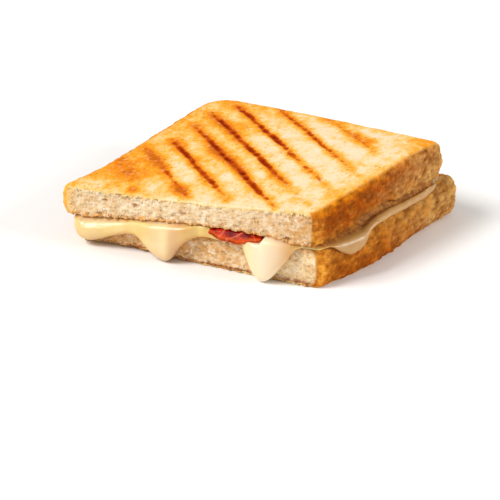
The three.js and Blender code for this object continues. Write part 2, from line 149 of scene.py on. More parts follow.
def outlineOf(plan, stepsAlong, stepsAcross):  # stations round a slice: rounded corners, outward normals
    corners = cornersOf(plan)
    ways = [corners[(s + 1) % 4] - corners[s] for s in range(4)]
    lengths = [np.linalg.norm(way) for way in ways]
    ways = [way / length for way, length in zip(ways, lengths)]
    points, sides, shares, places = [], [], [], []
    for s, name in enumerate(sideNames):
        steps = stepsAcross if s % 2 else stepsAlong
        share = np.arange(steps) / steps
        place = share * lengths[s]
        point = corners[s] + place[:, None] * ways[s]
        point += along(plan["sway"][name], share)[:, None] * np.array([ways[s][1], -ways[s][0]])
        for end, gap, tau in ((s, place, 1), ((s + 1) % 4, lengths[s] - place, -1)):
            reach = 1.41 * breadShape["cornerRadii"][end]  # how far from the corner its curve begins
            corner, inWay, outWay = corners[end], ways[(end + 3) % 4], ways[end]
            near = np.clip(gap / reach, 0, 1)
            t = (0.5 + 0.5 * tau * near)[:, None]
            begin, finish = corner - reach * inWay, corner + reach * outWay
            bend = (1 - t) ** 2 * begin + 2 * t * (1 - t) * corner + t**2 * finish
            straight = corner + reach * near[:, None] * (outWay if tau > 0 else -inWay)
            point += bend - straight
        points.append(point)
        sides.append(np.full(steps, s))
        shares.append(share)
        places.append(place)
    point = np.concatenate(points)
    tangent = np.roll(point, -1, 0) - np.roll(point, 1, 0)
    tangent /= np.linalg.norm(tangent, axis=1)[:, None]
    side = np.concatenate(sides)
    blur = round(breadShape["blendShare"] * len(side))
    gently = {}
    for key in ("edgeRadius", "belly", "lumpiness"):
        value = np.array([breadShape[key][name] for name in sideNames])[side]
        gently[key] = np.mean([np.roll(value, k) for k in range(-blur, blur + 1)], axis=0)
    return {
        "point": point, "normal": np.stack([tangent[:, 1], -tangent[:, 0]], 1), "side": side,
        "share": np.concatenate(shares), "place": np.concatenate(places),
        "length": np.array(lengths)[side], "radius": gently["edgeRadius"], "belly": gently["belly"],
        "lumpiness": gently["lumpiness"],
    }


def loopFaces(lower, upper):  # quads between two loops of equal length
    k = np.arange(len(lower))
    nextOne = (k + 1) % len(lower)
    return np.stack([lower[k], lower[nextOne], upper[nextOne], upper[k]], 1)


def gridFace(rim, rimIndex, firstFree, stepsAlong, stepsAcross):  # fills a rim with a grid, in plan
    index = np.zeros((stepsAlong + 1, stepsAcross + 1), int)
    place = np.zeros((stepsAlong + 1, stepsAcross + 1, 2))
    corner = [0, stepsAlong, stepsAlong + stepsAcross, 2 * stepsAlong + stepsAcross]
    front, right = np.arange(stepsAlong + 1), corner[1] + np.arange(stepsAcross + 1)
    back, left = corner[3] - np.arange(stepsAlong + 1), (len(rim) - np.arange(stepsAcross + 1)) % len(rim)
    index[:, 0], index[-1, :] = rimIndex[front], rimIndex[right]
    index[:, -1], index[0, :] = rimIndex[back], rimIndex[left]
    u = (np.arange(1, stepsAlong) / stepsAlong)[:, None, None]
    v = (np.arange(1, stepsAcross) / stepsAcross)[None, :, None]
    frontRim, backRim = rim[front][1:-1, None], rim[back][1:-1, None]
    leftRim, rightRim = rim[left][None, 1:-1], rim[right][None, 1:-1]
    a, b, c, d = rim[front[0]], rim[front[-1]], rim[back[-1]], rim[back[0]]
    inner = (1 - v) * frontRim + v * backRim + (1 - u) * leftRim + u * rightRim
    place[1:-1, 1:-1] = inner - (1 - v) * ((1 - u) * a + u * b) - v * ((1 - u) * d + u * c)
    place[:, 0], place[-1, :], place[:, -1], place[0, :] = rim[front], rim[right], rim[back], rim[left]
    for _ in range(breadShape["relaxSweeps"]):
        place[1:-1, 1:-1] = (place[:-2, 1:-1] + place[2:, 1:-1] + place[1:-1, :-2] + place[1:-1, 2:]) / 4
    free = firstFree + np.arange((stepsAlong - 1) * (stepsAcross - 1))
    index[1:-1, 1:-1] = free.reshape(stepsAlong - 1, -1)
    quads = np.stack([index[:-1, :-1], index[1:, :-1], index[1:, 1:], index[:-1, 1:]], -1).reshape(-1, 4)
    return place[1:-1, 1:-1].reshape(-1, 2), quads


def ringFace(rim, rimIndex, firstFree, upward):  # fills a rim with a few rings and a fan, in plan
    middle, ring, total = rim.mean(0), rimIndex, firstFree
    points, faces = [], []
    for share in breadShape["ringShares"]:
        points.append(middle + (rim - middle) * share)
        nextRing = total + np.arange(len(rim))
        faces.append(loopFaces(ring, nextRing) if upward else loopFaces(nextRing, ring))
        ring, total = nextRing, total + len(rim)
    fan = np.column_stack([ring, np.roll(ring, -1), np.full(len(rim), total)])
    return np.concatenate([*points, middle[None]]), np.concatenate(faces), fan if upward else fan[:, ::-1]


def makeObject(name, points, faces, attributes=None):  # points in millimetres, as worked out above
    mesh = bpy.data.meshes.new(name)
    mesh.from_pydata(((points - baseMiddle) / 1000).tolist(), [], [face.tolist() for face in faces])
    for key, values in (attributes or {}).items():
        layer = mesh.attributes.new(key, "FLOAT", "POINT")
        layer.data.foreach_set("value", np.asarray(values, np.float32))
    mesh.shade_smooth()
    mesh.update()
    obj = bpy.data.objects.new(name, mesh)
    bpy.context.scene.collection.objects.link(obj)
    return obj


# Where the upper slice browned. Grill marks lie at 45 degrees: place across the bars, ends along them from
# the back, and darkness at equal steps. Patches are x, y, half widths along and across the bars, strength.
grillLook = {
    "barWidth": 2.5,
    "marks": [
        {"across": 38, "from": 93, "to": 36, "halo": 7,
            "dark": [0.1, 0.45, 0.2, 0.3, 0.5, 0.35, 0.55, 0.4, 0.1]},
        {"across": 26.1, "from": 94, "to": 25, "halo": 7,
            "dark": [0.35, 0.7, 0.85, 0.75, 0.95, 0.75, 0.35, 0.1]},
        {"across": 13.4, "from": 104, "to": 8, "halo": 6.4,
            "dark": [0.3, 0.6, 0.85, 0.95, 1, 1, 0.85, 0.4, 0.15]},
        {"across": 2.5, "from": 112, "to": 6, "halo": 6,
            "dark": [0.4, 0.8, 0.95, 0.85, 0.95, 0.8, 0.4, 0.2, 0.1]},
        {"across": -9.3, "from": 112, "to": 4, "halo": 5,
            "dark": [0.7, 0.95, 0.85, 0.9, 0.7, 0.5, 0.35, 0.2, 0.05]},
        {"across": -22.8, "from": 100, "to": 10, "halo": 5,
            "dark": [0.3, 0.5, 0.6, 0.6, 0.4, 0.35, 0.15, 0.05]},
        {"across": -36.6, "from": 72, "to": 26, "halo": 6,
            "dark": [0.2, 0.4, 0.4, 0.2, 0.05]},
    ],
    "patches": [
        (-92, 14, 12, 10, 0.3), (-83, 10, 8, 6, 0.4), (-80, 18, 8, 5, 0.25), (-96, 24, 8, 5, 0.3),
        (-77.9, 0.8, 3.4, 2.2, 0.7), (-60, 5, 5, 3, 0.55), (-80, 27, 8, 4, 0.45), (-45, 27.5, 12, 4, 0.45),
        (-62, 41, 12, 4, 0.3), (-66, 60, 14, 5, 0.3), (-56, 62, 8, 4, 0.25), (-11, 66, 5, 2.5, 0.45),
        (-3.6, 60.7, 4, 2.5, 0.4), (-29, 79, 5, 3, 0.4), (15, 66, 9, 8, 0.3), (-27, 22, 9, 3, 0.2),
    ],
}


def browning(plan, x, y):  # how toasted and how charred a toasted face is at a place
    across, lengthwise = -(x + y) / math.sqrt(2), (y - x) / math.sqrt(2)
    u, v = planShare(plan, x, y)
    drift = 0.6 * np.sin(lengthwise / 5.3 + across / 9) + 0.35 * np.sin(lengthwise / 2.1 + 1.7)
    char, toast = np.zeros_like(x), 0.17 + 0.24 * (1 - u) ** 1.5
    toast = toast + 0.2 * np.exp(-u * 100 / 6) + 0.4 * np.exp(-(1 - v) * 90 / 5)
    toast = toast + 0.3 * np.exp(-(1 - u) * 100 / 3)
    for mark in grillLook["marks"]:
        share = (mark["from"] - lengthwise) / (mark["from"] - mark["to"])
        ends = smoothstep(share, -0.03, 0.03) * smoothstep(1.03 - share, 0, 0.08)
        dark = np.clip(along(mark["dark"], share), 0, 1) * ends
        away = across - mark["across"] - 0.3 * drift
        bar = np.exp(-np.abs(2 * away / (grillLook["barWidth"] * (0.75 + 0.3 * dark))) ** 2.2)
        blot = 0.8 + 0.2 * np.sin(lengthwise / 1.5 + 2.5 * np.sin(lengthwise / 3.7 + mark["across"]))
        char = np.maximum(char, dark * bar * blot)
        gold = np.minimum(1, 1.5 * dark**0.6)
        halo = 0.4 * np.exp(-((2 * away / mark["halo"]) ** 2)) + 0.2 * np.exp(-((away / 2) ** 2))
        toast = toast + gold * halo
    for px, py, reachLong, reachWide, strength in grillLook["patches"]:
        offLong = ((y - py) - (x - px)) / math.sqrt(2)
        offWide = ((x - px) + (y - py)) / math.sqrt(2)
        toast = toast + strength * np.exp(-((offLong / reachLong) ** 2) - (offWide / reachWide) ** 2)
    return toast, char


def sliceParts(plan, outerFace):  # points, faces and looks of one half slice; outerFace is its toasted side
    shape = breadShape
    outline = outlineOf(plan, shape["stepsAlong"], shape["stepsAcross"])
    count = len(outline["point"])
    turns = np.linspace(-math.pi / 2, 0, shape["roundRows"] + 1)
    rows = [(turn, 0.0) for turn in turns]
    rows += [(0.0, share) for share in np.linspace(0, 1, shape["wallRows"] + 1)[1:]]
    rows += [(-turn, 1.0) for turn in turns[::-1][1:]]
    points, ups = [], []
    radius, belly = outline["radius"], outline["belly"]
    for turn, share in rows:
        xy = outline["point"] + outline["normal"] * ((math.cos(turn) - 1) * radius)[:, None]
        low, high = heightAt(plan, "bottom", *xy.T), heightAt(plan, "top", *xy.T)
        start, end = low + radius, high - radius
        z = start + (end - start) * share + radius * math.sin(turn)
        level = np.clip(2 * (z - low) / (high - low) - 1, -1, 1)
        xy = xy + outline["normal"] * (belly * (1 - level**2) - shape["reliefRoom"])[:, None]
        points.append(np.column_stack([xy, z]))
        ups.append((z - low) / (high - low))
    index = np.arange(len(rows) * count).reshape(len(rows), count)
    faces = [loopFaces(index[k], index[k + 1]) for k in range(len(rows) - 1)]
    # the face against the filling closes in rings, the toasted one is a fine grid
    innerFace = "bottom" if outerFace == "top" else "top"
    innerLoop, outerLoop = (0, -1) if outerFace == "top" else (-1, 0)
    rim = points[outerLoop][:, :2]
    innerRim = points[innerLoop][:, :2]
    hidden, rings, fan = ringFace(innerRim, index[innerLoop], index.size, outerFace == "bottom")
    inner, quads = gridFace(
        rim, index[outerLoop], index.size + len(hidden), shape["stepsAlong"], shape["stepsAcross"]
    )
    points.append(np.column_stack([hidden, heightAt(plan, innerFace, *hidden.T)]))
    points.append(np.column_stack([inner, heightAt(plan, outerFace, *inner.T)]))
    faces += [rings, quads if outerFace == "top" else quads[:, ::-1]]
    points = np.concatenate(points)
    # looks: cut crumb, crust wall, toasted face, browning; distances in millimetres, heights as shares
    place, side, length = outline["place"], outline["side"], outline["length"]
    fromLeft, fromRight = [np.where(side == 0, gap, 0) for gap in (place, length - place)]
    up = np.stack(ups)
    outer = up if outerFace == "top" else 1 - up
    near, far, cornered = plan["rind"]
    cut = smoothstep(fromLeft, 0.8, 4) * smoothstep(fromRight - cornered * (2 * up - 1) ** 4, near, far)
    # nose: the sharp corner at the cut's left end; heel: where the right crust meets the cut
    toEnd = length - place
    nose = np.select([side == 0, side == 3], [np.exp(-((place / 5) ** 2)), np.exp(-((toEnd / 7) ** 2))], 0)
    heel = np.select([side == 1, side == 0], [np.exp(-((place / 4.5) ** 2)), np.exp(-((toEnd / 2) ** 2))], 0)
    farCorner = np.select([side == 1, side == 2], [outline["share"], 1 - smoothstep(place, 0, 16)], 0)
    toast, char = browning(plan, *points[:, :2].T)
    walls = {
        "crumb": cut * smoothstep(1 - outer, 0, 0.11),
        "crust": (1 - cut) * smoothstep(1 - outer, 0.004, 0.04),
        "tear": (0.3 + 0.7 * cut) * np.maximum(
            smoothstep(0.2 - up, 0, 0.2) * (0.3 + 0.7 * smoothstep(up, 0, 0.05)),
            smoothstep(up, 0.78, 0.88) * smoothstep(0.95 - up, 0, 0.06) * 0.7,
        ),
        "lumpy": outline["lumpiness"],
        "sideways": farCorner,
        "soakAndShade": np.where(side == 0, along(plan["soakAndShade"], outline["share"]), 0),
        "nose": nose,
        "heel": heel,
    }
    walls = {key: value * np.ones_like(up) for key, value in walls.items()}  # the same in every row
    walls["scatter"] = walls["crumb"] * (0.35 + 2.6 * walls["tear"])
    hiddenCrumb = np.clip((np.arange(len(hidden)) // count + 1) / 4, 0, 1)  # crust fades over the first rings
    looks = {
        key: np.concatenate([value.ravel(), hiddenCrumb * (key == "crumb"), np.zeros(len(inner))])
        for key, value in walls.items()
    }
    looks["crust"][index.size : index.size + len(hidden)] = 1 - hiddenCrumb
    looks["outer"] = np.concatenate([outer.ravel(), np.full(len(hidden), 0.14), np.ones(len(inner))])
    looks["toast"], looks["char"] = toast, char * smoothstep(looks["outer"], 0.9, 0.99)
    return points, [*np.concatenate(faces), *fan], looks


print("Bread: two half slices")
upperBread = makeObject("toasted_upper_slice", *sliceParts(slicePlans["upper"], "top"))
lowerBread = makeObject("toasted_lower_slice", *sliceParts(slicePlans["lower"], "bottom"))


# Melted cheese. The rim stands out past the lower slice by so many millimetres, and sinks by the gap under
# the upper one, both by share of a side. Edges give the height of its lower edge by distance along a side,
# and sag is how far it hangs elsewhere, where the rim is recessed and where it stands out. Tongues stand
# further out around a place, and are milky where they are thick. The right match pairs places on the lower
# slice's right crust, in millimetres, with shares of the upper one's, as the slices lie turned a little.
cheeseShape = {
    "rim": {
        "front": [(0, 2.4), (0.25, 3.4), (0.5, 2.2), (0.75, 0.6), (1, 0.2)],
        "right": [
            (0, 0.2), (0.1, 1.2), (0.25, 1.3), (0.5, 1.1), (0.78, 1), (0.82, 0.4), (0.86, -0.9), (0.89, -1.7),
            (1, -2),
        ],
        "back": [(0, -2), (0.25, -2.4), (0.5, -2), (1, -2.4)],
        "left": [(0, -2.4), (0.25, 0.4), (0.5, 1.2), (0.75, 1.6), (1, 2.4)],
    },
    "gap": {
        "front": [(0, 0.6), (0.03, 1.5), (0.2, 1.3), (0.27, 0.2), (0.84, 0.1), (0.92, 0.9), (1, 0.6)],
        "right": [
            (0, 0.6), (0.07, 0.1), (0.2, 0.2), (0.27, 0.9), (0.38, 0.5), (0.5, 1.3), (0.6, 0.4), (0.76, 0.2),
            (0.81, 1.6), (0.84, 3.8), (0.87, 5), (0.92, 3), (0.95, 0.6), (1, 0.3),
        ],
    },
    "edges": {
        "front": [
            (0, 9), (1.1, 6), (2.3, 3.4), (4.9, 2.3), (8, 2.5), (10.6, 3.4), (13.7, 4.8), (18.1, 6.6),
            (22.4, 7.9), (26.3, 8.2), (31.8, 4.2), (35.1, 1.8), (37.3, 0.6), (39.6, 0.2), (42, 1.6),
            (45, 6.4), (47.6, 9.4), (51, 11.8), (54.3, 12.6), (62.6, 12.9), (69.4, 13.8), (72.2, 10.4),
            (75, 5), (77.5, 1.4), (79.2, 0.2), (80.4, 0.1), (82.5, 1.2), (86.1, 5.4), (89.4, 10.3),
            (91.8, 14), (94.6, 15.9), (102.5, 16.1),
        ],
        "right": [
            (0, 16.4), (3, 17), (5.7, 16.2), (8.6, 13.7), (11.5, 11.7), (14.3, 10.7), (17.2, 11),
            (20.1, 12.3), (22.9, 14.9), (25.8, 16.9), (28.7, 17.5), (34.4, 17.5), (40, 17.1), (46, 16.7),
            (52, 16.1), (57, 15.5), (63, 15.2), (66, 15.4), (69, 16), (72, 17), (86, 17.2),
        ],
    },
    "rightMatch": ([0, 70, 86], [0, 0.897, 1]),
    "sag": (0.3, 1.1),
    "tongues": [
        {"side": "front", "at": 6.4, "before": 6.4, "after": 14, "out": 4.6, "milky": 0.3},
        {"side": "front", "at": 39.5, "before": 13, "after": 13, "out": 5.6, "milky": 0.45},
        {"side": "front", "at": 81, "before": 11.5, "after": 14, "out": 5.8, "milky": 1},
        {"side": "right", "at": 15, "before": 10, "after": 10, "out": 2.6, "milky": 0},
        {"side": "back", "at": 38, "before": 17, "after": 15, "out": 2.4, "milky": 0.3, "drop": 3.6},
        {"side": "left", "at": 60, "before": 14, "after": 12, "out": 3.2, "milky": 0.3, "drop": 5},
    ],
    "stepsAlong": 260,
    "stepsAcross": 150,
    "sectionSteps": 26,
}
# Ham. It spans part of the cut and reaches back between the slices. Its lip leaves them a tuck behind the
# upper slice's edge and droops, most in its middle. Seams of fat: start, lean, width, strength.
hamShape = {
    "span": (-44, -22.4), "reach": 62, "sway": 2.2, "thickness": 1.8, "tuck": 2.2, "lip": 3.2,
    "droop": 2.7, "ruffle": 0.24, "stepsWide": 90, "stepsLong": 80,
    "fatSeams": [(0.66, 0.3, 0.02, 1), (0.3, 0.1, 0.014, 0.6), (0.8, -0.1, 0.014, 0.5)],
}


def curveThrough(pairs, place):  # smooth curve through pairs of place and value, without overshoot
    xs, ys = np.array(pairs, float).T
    step = np.diff(xs)
    slope = np.diff(ys) / step
    product = slope[:-1] * slope[1:]
    inner = np.where(product > 0, 2 * product / np.where(product > 0, slope[:-1] + slope[1:], 1), 0)
    tangent = np.concatenate([[slope[0]], inner, [slope[-1]]])
    k = np.clip(np.searchsorted(xs, place) - 1, 0, len(step) - 1)
    w, h = np.clip((place - xs[k]) / step[k], 0, 1), step[k]
    rise = (w**3 - 2 * w**2 + w) * h * tangent[k] + (w**3 - w**2) * h * tangent[k + 1]
    return ys[k] + (3 * w**2 - 2 * w**3) * (ys[k + 1] - ys[k]) + rise


def cheeseParts():
    shape = cheeseShape
    lower = outlineOf(slicePlans["lower"], shape["stepsAlong"], shape["stepsAcross"])
    upper = outlineOf(slicePlans["upper"], shape["stepsAlong"], shape["stepsAcross"])
    count = len(lower["point"])
    # upper stations stand beside the lower ones along the right crust, and close up at its far end
    above, right = upper["point"].copy(), lower["side"] == 1
    stations = np.append(np.flatnonzero(right), np.flatnonzero(right)[-1] + 1)
    matched = np.interp(lower["place"][right], *shape["rightMatch"])
    shares = np.linspace(0, 1, len(stations))
    for axis in (0, 1):
        above[right, axis] = np.interp(matched, shares, upper["point"][stations, axis])
    overhang = ((above - lower["point"]) * lower["normal"]).sum(1)
    rim, gap = [
        np.concatenate([
            curveThrough(shape[key].get(name, [(0, 0.3), (1, 0.3)]), lower["share"][lower["side"] == s])
            for s, name in enumerate(sideNames)
        ])
        for key in ("rim", "gap")
    ]
    inset = smoothstep(-rim, 0, 1.5)  # recessed cheese keeps to the upper slice
    base = lower["point"] + inset[:, None] * (above - lower["point"])
    overhang = overhang * (1 - inset)
    ceiling = heightAt(slicePlans["upper"], "bottom", *above.T)
    floor = heightAt(slicePlans["lower"], "top", *base.T)
    drop = shape["sag"][0] + (shape["sag"][1] - shape["sag"][0]) * smoothstep(rim, 0, 2)
    out, milky = rim.copy(), np.zeros(count)
    for tongue in shape["tongues"]:
        away = lower["place"] - tongue["at"]
        reach = np.abs(away) / np.where(away < 0, tongue["before"], tongue["after"])
        share = np.maximum(0, 1 - reach**2) ** 1.6 * (lower["side"] == sideNames.index(tongue["side"]))
        drop = np.maximum(drop, tongue.get("drop", 0) * share)
        out += np.maximum(0, tongue["out"] - rim) * share**0.55
        milky += tongue["milky"] * share**1.3
    for name, edge in shape["edges"].items():
        there = lower["side"] == sideNames.index(name)
        drop = np.where(there, floor - curveThrough(edge, lower["place"]), drop)
    for _ in range(3):
        drop, out = [(np.roll(v, 1) + 2 * v + np.roll(v, -1)) / 4 for v in (drop, out)]
    out = out + 0.12 * np.sin(lower["place"] / 2.3) + 0.1 * np.sin(lower["place"] / 1.1 + 2)
    hamLeft, hamRight = hamShape["span"]
    x = lower["point"][:, 0]
    underHam = smoothstep(x, hamLeft - 1, hamLeft + 1) * smoothstep(hamRight - x, -1.5, 1)
    underHam = underHam * (lower["side"] == 0)
    ceiling = ceiling - underHam * (hamShape["thickness"] + 0.5)
    tip = floor - drop
    body = ceiling - tip
    run = np.linalg.norm(np.roll(base, -3, 0) - np.roll(base, 3, 0), axis=1)
    rising = (np.roll(tip, -3) - np.roll(tip, 3)) / run
    aside = smoothstep(lower["normal"][:, 0], 0.3, 0.9)
    # the bead at the right stands off the upper crust
    crease = aside * (1 - inset) * np.clip(ceiling - floor - 1.2, 0, 1.8)
    gap = gap * (1 - 0.7 * aside)
    shoulder = np.minimum(overhang - 0.2, out - 0.8)
    back = np.minimum(lower["belly"] * 0.5, out - 3)
    thick = out - back
    width, roll = out - shoulder, np.minimum(0.5 * body, 3.2)
    edge = np.maximum(0.4 * body, aside * (gap + 0.3))
    section = [  # distance out from the lower slice's edge and height, from inside above to inside below
        (shoulder - 3, ceiling + 0.9 - underHam),
        (shoulder - 0.5 + 0.2 * aside, ceiling + 0.1 - 0.5 * gap - underHam * 0.3 - crease),
        (shoulder + (0.4 - 0.08 * aside) * width, ceiling - gap - 0.06 * roll - 0.2 * crease),
        (shoulder + (0.8 - 0.08 * aside) * width, ceiling - gap - (0.4 - 0.2 * aside) * roll - 0.05 * crease),
        (out - 0.02 * width, ceiling - np.maximum((1.05 - 0.2 * aside) * roll, edge)),
        (out, ceiling - 0.68 * body),
        (out - 0.1 * thick, ceiling - 0.86 * body),
        (out - 0.34 * thick, ceiling - 0.97 * body),
        (out - 0.65 * thick, tip),
        (back, tip + 0.1),
        (back - 1.6, np.minimum(floor - 2, tip + 0.8)),
        (back - 5, np.minimum(floor - 2.5, tip + 1.2)),
    ]
    table = np.array([np.column_stack(pair) for pair in section])
    steps = along(table, np.linspace(0, 1, shape["sectionSteps"]))
    loops = [
        np.column_stack([base + lower["normal"] * row[:, :1], np.maximum(row[:, 1], 0.05)]) for row in steps
    ]
    index = np.arange(len(loops) * count).reshape(len(loops), count)
    faces = [loopFaces(index[k + 1], index[k]) for k in range(len(loops) - 1)]
    blocks, fans, total = list(loops), [], index.size
    for loop, level, shift in ((0, "bottom", 0.9), (-1, "top", -2.5)):
        xy, rings, fan = ringFace(loops[loop][:, :2], index[loop], total, loop == 0)
        plan = slicePlans["lower" if loop else "upper"]
        blocks.append(np.column_stack([xy, heightAt(plan, level, *xy.T) + shift]))
        faces.append(rings)
        fans.append(fan)
        total += len(xy)
    looks = {
        "down": np.repeat(np.linspace(0, 1, len(loops)), count),
        "side": np.tile(aside, len(loops)),
        "milky": np.tile(milky, len(loops)),
        # painted shade goes on the tongues' steep right flanks, away from the right side
        "flankShade": np.tile(smoothstep(rising, 0.15, 1.6) * (1 - aside), len(loops)),
    }
    free = np.zeros(total - index.size)
    return np.concatenate(blocks), [*np.concatenate(faces), *np.concatenate(fans)], {
        key: np.concatenate([value, free]) for key, value in looks.items()
    }


def hamParts():
    shape = hamShape
    half = shape["thickness"] / 2
    u, v = np.meshgrid(
        np.linspace(0, 1, shape["stepsWide"] + 1), np.linspace(0, 1, shape["stepsLong"] + 1), indexing="ij"
    )
    plan = slicePlans["upper"]
    lipEdge = plan["cutEnd"][1] + shape["tuck"]
    front = lipEdge - shape["lip"] + 0.35 * np.sin(7 * u + 0.6) + 0.2 * np.sin(19 * u)
    y = front + (shape["reach"] - front) * (1 - v) ** 2
    lip = smoothstep(lipEdge - y, 0, shape["lip"])
    middle, spread = sum(shape["span"]) / 2, (shape["span"][1] - shape["span"][0]) / 2
    x = middle + spread * (2 * u - 1) + shape["sway"] * np.sin(y / 13) * (1 - lip)
    fall = shape["droop"] * np.sin(math.pi * u**0.8) * lip
    folds = np.sin(9 * u + 2.4 * np.sin(5 * u) + 0.5 * y) + 0.5 * np.sin(23 * u + 3 * np.sin(6 * u) + 1.3 * y)
    ruffle = shape["ruffle"] * folds * smoothstep(lipEdge + 4 - y, 0, 5)
    z = heightAt(plan, "bottom", x, y) - 0.35 - half - fall - ruffle * np.sin(math.pi * u)
    centre = np.stack([x, y, z], -1)
    normal = np.cross(np.gradient(centre, axis=1), np.gradient(centre, axis=0))
    normal /= np.linalg.norm(normal, axis=-1)[..., None]
    border = np.minimum(1, 9 * np.minimum(np.minimum(u, 1 - u), np.minimum(v, 1 - v)))
    thick = half * (0.25 + 0.75 * np.sqrt(1 - (1 - border) ** 2)) * (1 - 0.25 * smoothstep(u, 0.6, 1))
    thick = (thick * (1 + 0.12 * np.sin(9 * u + y / 3)))[..., None]
    above, below = (centre + normal * thick).reshape(-1, 3), (centre - normal * thick).reshape(-1, 3)
    index = np.arange(u.size).reshape(u.shape)
    quads = np.stack([index[:-1, :-1], index[:-1, 1:], index[1:, 1:], index[1:, :-1]], -1).reshape(-1, 4)
    ring = np.concatenate([index[:-1, -1], index[-1, :0:-1], index[:0:-1, 0], index[0, :-1]])
    faces = [quads[:, ::-1], quads + u.size, loopFaces(ring + u.size, ring)]
    fat = sum(
        strength * np.exp(-(((u - start + lean * lip + 0.012 * np.sin(3 * y)) / width) ** 2))
        for start, lean, width, strength in shape["fatSeams"]
    )
    looks = {"fat": np.tile(fat.ravel(), 2), "lip": np.tile(lip.ravel(), 2)}
    return np.concatenate([above, below]), np.concatenate(faces), looks


print("Filling: melted cheese and ham")
cheese = makeObject("melted_cheese", *cheeseParts())
ham = makeObject("ham_rasher", *hamParts())


def hexColour(code):  # sRGB hex to linear
    parts = [int(code[k : k + 2], 16) / 255 for k in (0, 2, 4)]
    return (*[p / 12.92 if p <= 0.04045 else ((p + 0.055) / 1.055) ** 2.4 for p in parts], 1.0)


def addNode(tree, kind, *values, out=None, stops=None, **settings):
    # Adds one node with its settings and links. The kind may end in an operation or a data type, as in
    # "Math:ADD". Values, links and hex colours go to its live inputs in order, or by number or name from one
    # dictionary. It gives back the first live output, or the one asked for. Stops are those of a ramp.
    name, _, mode = kind.partition(":")
    node = tree.nodes.new(name if "Node" in name else "ShaderNode" + name)
    if mode:
        setattr(node, "operation" if hasattr(node, "operation") else "data_type", mode)
    for key, value in settings.items():
        setattr(node, key, value)
    live = [socket for socket in node.inputs if socket.enabled]
    inputs = values[0] if values and isinstance(values[0], dict) else dict(enumerate(values))
    for key, value in inputs.items():
        socket = node.inputs[key] if isinstance(key, str) else live[key]
        if isinstance(value, bpy.types.NodeSocket):
            tree.links.new(value, socket)
        else:
            socket.default_value = hexColour(value) if socket.type == "RGBA" else value
    if stops:
        elements = node.color_ramp.elements
        while len(elements) < len(stops):
            elements.new(0.5)
        for element, (place, code) in zip(elements, stops):
            element.position = place
            element.color = hexColour(code)
    if out is None:
        return next((socket for socket in node.outputs if socket.enabled), None)
    return node.outputs[out]


def newTree(name, shape):  # a Geometry Nodes tree whose named inputs are the piece, its sizes and its finish
    tree = bpy.data.node_groups.new(name, "GeometryNodeTree")
    kinds = {"Geometry": "Geometry", **dict.fromkeys(shape, "Float"), "Finish": "Material"}
    for key, kind in kinds.items():
        kind = "Int" if isinstance(shape.get(key), int) else kind
        tree.interface.new_socket(name=key, in_out="INPUT", socket_type="NodeSocket" + kind)
    tree.interface.new_socket(name="Geometry", in_out="OUTPUT", socket_type="NodeSocketGeometry")
    return tree, functools.partial(addNode, tree)


def newMaterial(name):
    material = bpy.data.materials.new(name)
    material.use_nodes = True
    material.node_tree.nodes.clear()
    return material, functools.partial(addNode, material.node_tree)


# Crumb and crust relief of the bread, in millimetres.
reliefShape = {
    "Pore Size": 2.7, "Pore Depth": 0.42, "Hole Size": 7.0, "Hole Depth": 0.85, "Crumb Roughness": 0.3,
    "Tear": 0.8, "Crust Lump": 3.6, "Crust Relief": 1.0, "Face Relief": 0.13, "Groove Depth": 0.6,
    "Seed": 3.0,
}
noiseSpread = (3.2, -1.6)  # brings a noise from about 0.2 to 0.8 to about -1 to 1


